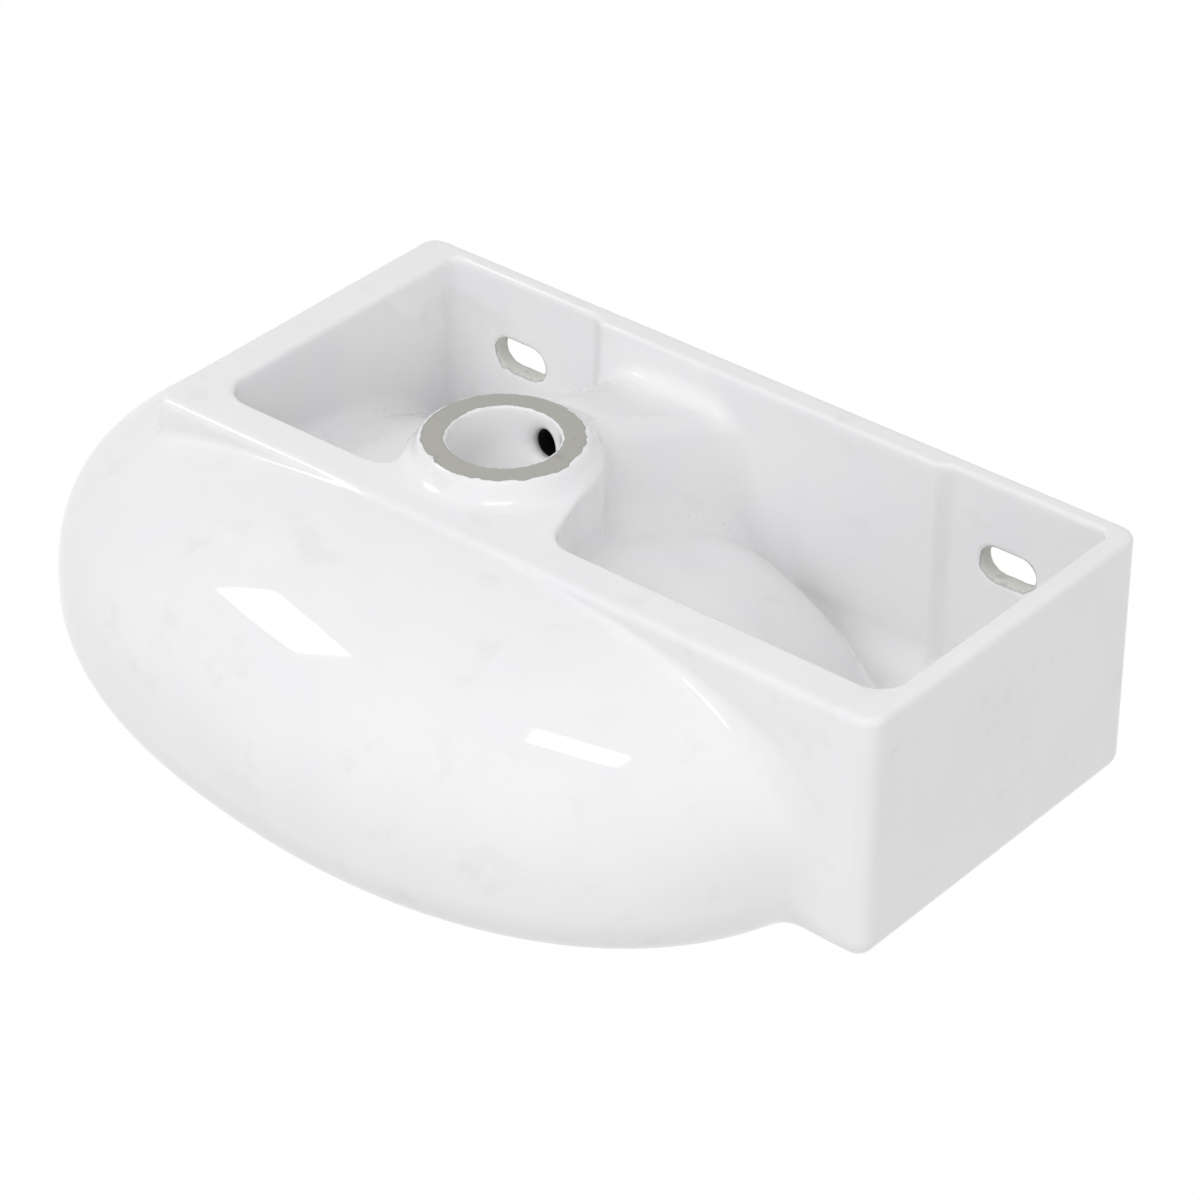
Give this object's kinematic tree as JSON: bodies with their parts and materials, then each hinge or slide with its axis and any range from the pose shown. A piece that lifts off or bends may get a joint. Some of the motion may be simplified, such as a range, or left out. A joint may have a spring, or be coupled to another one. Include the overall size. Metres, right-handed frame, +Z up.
{
  "type": "wall-hung basin",
  "caption": "Wall-hung cloakroom basin: oval bowl with a rolled rim on a rectangular skirt with a side tap deck, a waste boss, an overflow and wall slots.",
  "frame": {"origin": "midway between the two wall slots, on the flat back face that stands against the wall", "axes": "+Z up to the rim, +Y into the wall, +X along the wall towards the end that the bowl overhangs"},
  "size_m": [0.4195, 0.2713, 0.119],
  "materials": {
    "china": "white gloss glaze, bare and matt on the waste's seat",
    "chrome_ring": "bright chrome plate"
  },
  "bodies": {
    "root": {"bowl": "china", "apron": "china", "skirt": "china", "waste_boss": "china", "overflow_duct": "china", "overflow_ring": "chrome_ring"}
  },
  "joints": []
}
